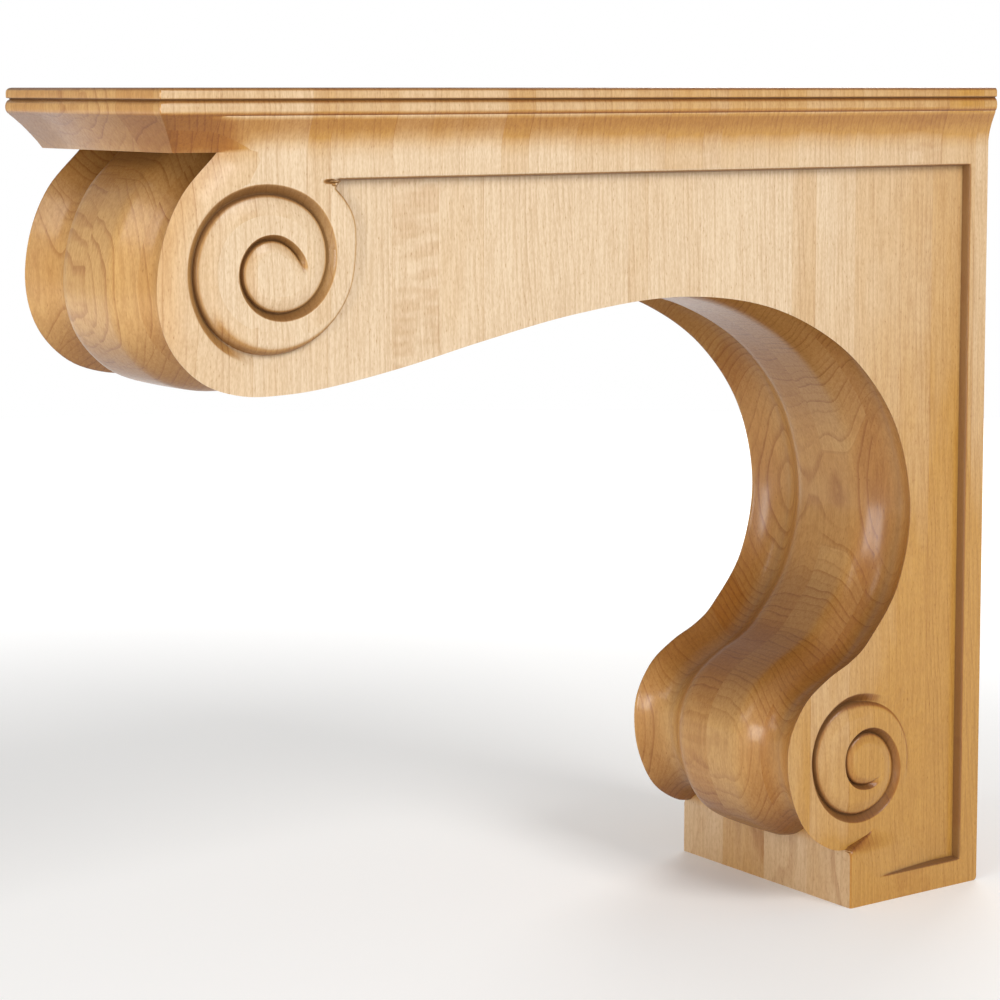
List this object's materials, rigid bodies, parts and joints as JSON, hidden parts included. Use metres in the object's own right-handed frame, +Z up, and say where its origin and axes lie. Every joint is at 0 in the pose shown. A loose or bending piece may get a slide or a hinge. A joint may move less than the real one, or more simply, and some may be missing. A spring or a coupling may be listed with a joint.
{
  "type": "range hood corbel",
  "caption": "Carved maple bracket with a moulded top, a long arm ending in a scroll, a deep arch and a scrolled foot, fixed to a wall by its flat back.",
  "frame": {"origin": "middle of the flat back, which bears on the wall", "axes": "+Y out of the back into the wall, so the arm reaches along -Y; +Z up; X across the width"},
  "size_m": [0.171, 0.5715, 0.49],
  "materials": {
    "maple": "hard maple with a satin clear coat"
  },
  "bodies": {
    "root": {"corbel": "maple"}
  },
  "joints": []
}
